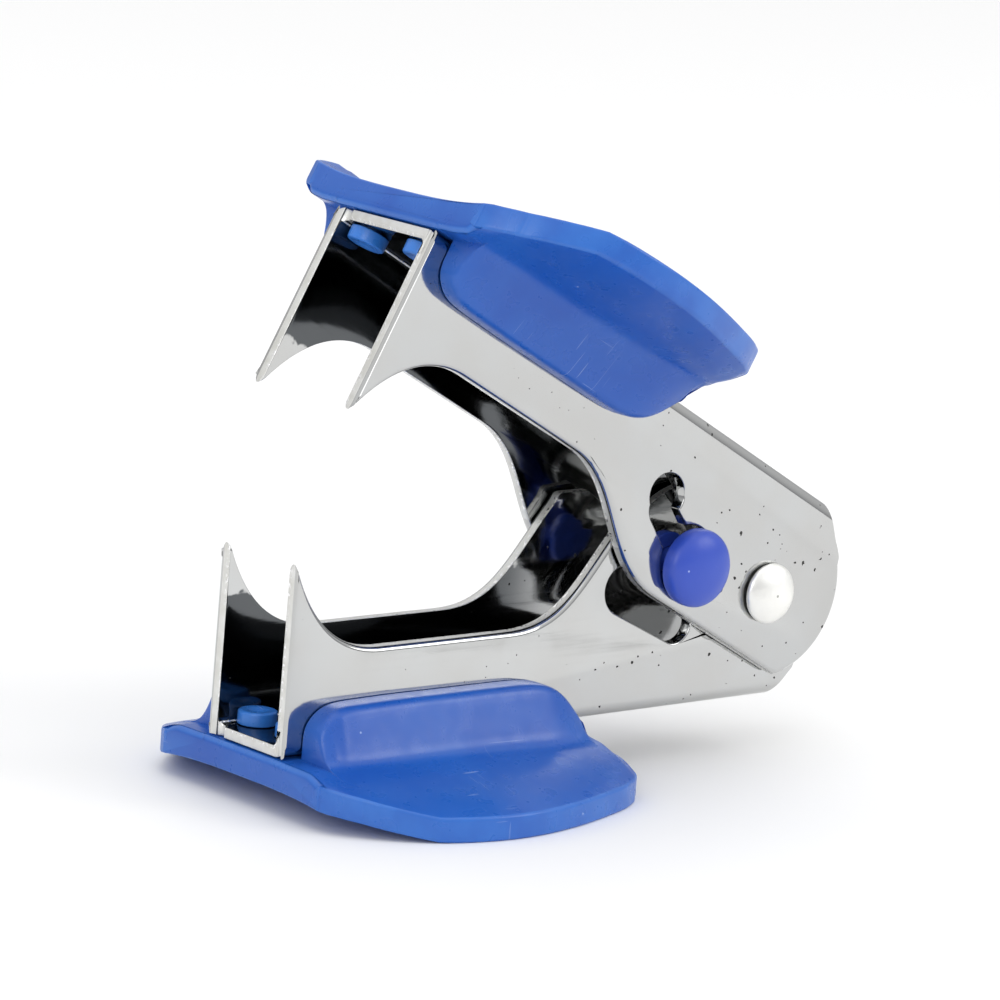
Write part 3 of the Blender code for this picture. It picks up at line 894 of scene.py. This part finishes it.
def lathe(name, profile, material, segments=72):
    """A turned solid about Y from (y, radius) stations."""
    mesh = bpy.data.meshes.new(name)
    work = bmesh.new()
    verts = [work.verts.new((radius * MM, y * MM, 0)) for y, radius in profile]
    edges = [work.edges.new(pair) for pair in zip(verts, verts[1:])]
    bmesh.ops.spin(work, geom=verts + edges, cent=(0, 0, 0), axis=(0, 1, 0), angle=2 * math.pi,
                   steps=segments, use_duplicate=False)
    bmesh.ops.remove_doubles(work, verts=work.verts, dist=1e-7)
    bmesh.ops.recalc_face_normals(work, faces=work.faces)
    work.to_mesh(mesh)
    work.free()
    mesh.materials.append(material)
    smooth(mesh, 38)
    return new_object(name, mesh, pieces)


def curve_profile(corners):
    """A smooth profile through corners given as (y, radius, rounding, steps)."""
    return [(p[0], p[1]) for p in rounded(corners)]


crown = -UPPER_SIDE - 2.45
stem_end = -UPPER_SIDE + STEEL + 0.1
shaft_end = LOCK_DISC_FACE + 0.6
lock_profile = curve_profile([
    (crown, 0, 0, 0), (crown + 0.25, LOCK_HEAD_RADIUS * 0.62, 1.6, 8),
    (-UPPER_SIDE - 1.5, LOCK_HEAD_RADIUS, 0.75, 8), (-UPPER_SIDE - 0.36, LOCK_HEAD_RADIUS, 0.12, 4),
    (-UPPER_SIDE - 0.12, LOCK_HEAD_RADIUS - 0.15, 0.1, 4), (-UPPER_SIDE - 0.12, LOCK_STEM_RADIUS, 0.1, 3),
    (stem_end, LOCK_STEM_RADIUS, 0.1, 3), (stem_end, LOCK_SHAFT_RADIUS, 0, 0),
    (shaft_end, LOCK_SHAFT_RADIUS, 0, 0), (shaft_end, 0, 0, 0)])
lock_button = lathe("lock_button", lock_profile, LOCK_BLUE)
inner_end = LOCK_DISC_FACE + LOCK_DISC_THICKNESS
disc_profile = curve_profile([
    (LOCK_DISC_FACE + 0.7, 0, 0, 0), (LOCK_DISC_FACE + 0.7, LOCK_SHAFT_RADIUS + 0.08, 0, 0),
    (LOCK_DISC_FACE, LOCK_SHAFT_RADIUS + 0.08, 0.05, 3), (LOCK_DISC_FACE, LOCK_DISC_RADIUS, 0.15, 4),
    (inner_end, LOCK_DISC_RADIUS, 0.35, 6), (inner_end, 0.9, 0.2, 4), (inner_end + 0.15, 0, 0, 0)])
lock_disc = lathe("lock_inner_disc", disc_profile, LOCK_BLUE)
for piece in (lock_button, lock_disc):
    piece.data.transform(Matrix.Translation((-UNLOCKED[0] * MM, 0, UNLOCKED[1] * MM)))
    piece.matrix_world = UPPER_FRAME

side = UPPER_SIDE + 0.15
rivet_profile = curve_profile([
    (-side - 1.25, 0, 0, 0), (-side - 1.2, 1.2, 1.0, 6), (-side - 0.75, 2.25, 0.8, 8),
    (-side - 0.35, RIVET_HEAD_RADIUS, 0.35, 6), (-side, RIVET_HEAD_RADIUS - 0.1, 0.15, 4),
    (-side, RIVET_RADIUS, 0, 0)])
rivet_profile += [(side, RIVET_RADIUS)] + curve_profile([
    (side, RIVET_RADIUS, 0, 0), (side, 2.4, 0.2, 4), (side + 0.5, 2.35, 0.4, 6), (side + 0.75, 1.5, 0.5, 6),
    (side + 0.5, 0.7, 0.4, 6), (side + 0.45, 0, 0, 0)])[1:]
rivet = lathe("rivet_body", rivet_profile, RIVET)
rivet.matrix_world = LOWER_FRAME


def peg_heads(name, places, width, web, placed):
    """The melted-over ends of a grip's pegs, with the dimple that the hot tool leaves."""
    outward = 1 if web > 0 else -1
    profile = curve_profile([
        (0.95, 0, 0, 0), (0.97, 0.5, 0.2, 4), (1.2, 0.95, 0.25, 5), (1.24, 1.4, 0.1, 4),
        (1.15, PEG_HEAD_RADIUS, 0.14, 5), (0.05, PEG_HEAD_RADIUS + 0.04, 0.1, 4),
        (0.02, PEG_RADIUS, 0, 0), (-STEEL - 0.1, PEG_RADIUS, 0, 0), (-STEEL - 0.1, 0, 0, 0)])
    made = []
    for u, y in places:
        for sign in (-1, 1):
            head = lathe(name, profile, PEG_BLUE, 48)
            turn = Matrix.Rotation(-outward * math.pi / 2, 4, "X")
            seat = web + outward * (web_rise(u, True) - STEEL)
            move = Matrix.Translation((-u * MM, sign * y * MM, seat * MM))
            head.data.transform(move @ turn)
            head.matrix_world = placed
            made.append(head)
    return made


lower_pegs = peg_heads("lower_peg", LOWER_PEGS, LOWER_WIDTH, LOWER_WEB, LOWER_FRAME)
upper_pegs = peg_heads("upper_peg", UPPER_PEGS, UPPER_WIDTH, UPPER_WEB, UPPER_FRAME)


# Spring

def spring_path():
    """The wire's middle line: a leg along the lower web, the coil and a leg along the upper web."""
    clear = STEEL + 0.05 + SPRING_WIRE_RADIUS
    lower_foot = Vector((SPRING_REACH, LOWER_WEB + clear))
    upper_foot = turned((SPRING_REACH, UPPER_WEB - clear), OPEN)
    start = math.atan2(lower_foot[1], lower_foot[0]) - math.acos(SPRING_COIL_RADIUS / lower_foot.length)
    end = math.atan2(upper_foot[1], upper_foot[0]) + math.acos(SPRING_COIL_RADIUS / upper_foot.length)
    end -= 2 * math.pi * (SPRING_TURNS + 1)
    coil_start = Vector((SPRING_COIL_RADIUS * math.cos(start), SPRING_COIL_RADIUS * math.sin(start)))
    coil_end = Vector((SPRING_COIL_RADIUS * math.cos(end), SPRING_COIL_RADIUS * math.sin(end)))
    steps = SPRING_TURNS * SPRING_TURN_STEPS
    path = []
    for i in range(SPRING_LEG_STEPS):
        point = lower_foot.lerp(coil_start, i / SPRING_LEG_STEPS)
        path.append((point[0], -SPRING_HALF_LENGTH, point[1]))
    for i in range(steps + 1):
        share = i / steps
        angle = start + (end - start) * share
        path.append((SPRING_COIL_RADIUS * math.cos(angle), SPRING_HALF_LENGTH * (2 * share - 1),
                     SPRING_COIL_RADIUS * math.sin(angle)))
    for i in range(1, SPRING_LEG_STEPS + 1):
        point = coil_end.lerp(upper_foot, i / SPRING_LEG_STEPS)
        path.append((point[0], SPRING_HALF_LENGTH, point[1]))
    return path


curve = bpy.data.curves.new("spring", "CURVE")
curve.dimensions = "3D"
curve.bevel_depth = SPRING_WIRE_RADIUS * MM
curve.bevel_resolution = 4
curve.use_fill_caps = True
spline = curve.splines.new("POLY")
spring_points = spring_path()
spline.points.add(len(spring_points) - 1)
for point, (u, y, z) in zip(spline.points, spring_points):
    point.co = ((PIVOT_X - u) * MM, y * MM, (PIVOT_Z + z) * MM, 1)
spring = finished(new_object("spring", curve, cutters), "spring_wire")
spring.data.materials.clear()
spring.data.materials.append(SPRING)
smooth(spring.data, 50)


# What rides on what

for piece, body, node, slot in (
        (lower_jaw, "lower", "lower_jaw", "jaw_steel"),
        (lower_grip, "lower", "lower_grip", "grip_plastic"),
        (rivet, "lower", "pivot_rivet", "rivet_steel"),
        (upper_jaw, "upper", "upper_jaw", "jaw_steel"),
        (upper_grip, "upper", "upper_grip", "grip_plastic"),
        (lock_button, "lock", "lock_pin", "lock_plastic"),
        (lock_disc, "lock", "lock_retainer", "lock_plastic")):
    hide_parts(node)
    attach(piece, body)
for group, body in ((lower_pegs, "lower"), (upper_pegs, "upper")):
    for piece in group:
        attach(piece, body)
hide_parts("torsion_spring")
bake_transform(spring)


# Floor, light and camera

def floor_material():
    g = Graph("pale_floor")
    tone = g.blend(g.noise(3.0, 2.0), (0.93, 0.93, 0.93, 1.0), (0.95, 0.95, 0.95, 1.0))
    return g.set(Base_Color=tone, Roughness=0.6)


floor_mesh = bpy.data.meshes.new("floor")
floor_work = bmesh.new()
bmesh.ops.create_circle(floor_work, cap_ends=True, segments=96, radius=4.0)
floor_work.to_mesh(floor_mesh)
floor_work.free()
floor_mesh.materials.append(floor_material())
floor = bpy.data.objects.new("floor", floor_mesh)
scene.collection.objects.link(floor)

world = bpy.data.worlds.new("studio")
scene.world = world
world.use_nodes = True
tree = world.node_tree
direction = tree.nodes.new("ShaderNodeTexCoord").outputs["Generated"]
height = tree.nodes.new("ShaderNodeSeparateXYZ")
tree.links.new(direction, height.inputs[0])
shade = tree.nodes.new("ShaderNodeValToRGB")
tree.links.new(height.outputs[2], shade.inputs[0])
shade.color_ramp.elements[0].position = 0.0
shade.color_ramp.elements[0].color = (0.40, 0.405, 0.415, 1.0)
shade.color_ramp.elements[1].position = 0.55
shade.color_ramp.elements[1].color = (1.0, 1.0, 1.0, 1.0)
tree.links.new(shade.outputs[0], tree.nodes["Background"].inputs[0])
tree.nodes["Background"].inputs[1].default_value = 0.95


def area_light(name, place, target, size, power):
    data = bpy.data.lights.new(name, "AREA")
    data.shape = "RECTANGLE"
    data.size, data.size_y = size
    data.energy = power
    lamp = bpy.data.objects.new(name, data)
    scene.collection.objects.link(lamp)
    lamp.location = place
    lamp.rotation_euler = (Vector(target) - Vector(place)).to_track_quat("-Z", "Y").to_euler()


area_light("overhead", (0.0, -0.1, 0.9), (0, 0, 0), (1.0, 1.0), 2.0)
area_light("right_front", (0.7, -0.75, 0.55), (0, 0, 0.02), (0.5, 0.5), 2.5)
area_light("left_front", (-0.9, -0.5, 0.45), (0, 0, 0.02), (0.6, 0.5), 2.0)

CAMERA_AZIMUTH = -40.01
CAMERA_ELEVATION = 11.26
CAMERA_ROLL = 4.04
CAMERA_DISTANCE = 0.517
CAMERA_LENS = 220.2
CAMERA_TARGET = Vector((PIVOT_X * MM - 0.0252, 0, PIVOT_Z * MM + 0.00869))

azimuth, elevation, roll = (math.radians(v) for v in (CAMERA_AZIMUTH, CAMERA_ELEVATION, CAMERA_ROLL))
back = Vector((math.sin(azimuth) * math.cos(elevation), -math.cos(azimuth) * math.cos(elevation),
               math.sin(elevation)))
level_right = (-back).cross(Vector((0, 0, 1))).normalized()
level_up = level_right.cross(-back)
right = math.cos(roll) * level_right + math.sin(roll) * level_up
up = -math.sin(roll) * level_right + math.cos(roll) * level_up
turn = Matrix((right, up, back)).transposed().to_4x4()
turn.translation = CAMERA_TARGET + back * CAMERA_DISTANCE
camera_data = bpy.data.cameras.new("camera")
camera_data.sensor_width = 36.0
camera_data.lens = CAMERA_LENS
camera_data.clip_start = 0.01
camera_data.clip_end = 20.0
camera = bpy.data.objects.new("camera", camera_data)
scene.collection.objects.link(camera)
camera.matrix_world = turn
scene.camera = camera
scene.view_settings.view_transform = "Standard"

drop(list(cutters.objects))
bpy.data.collections.remove(cutters)
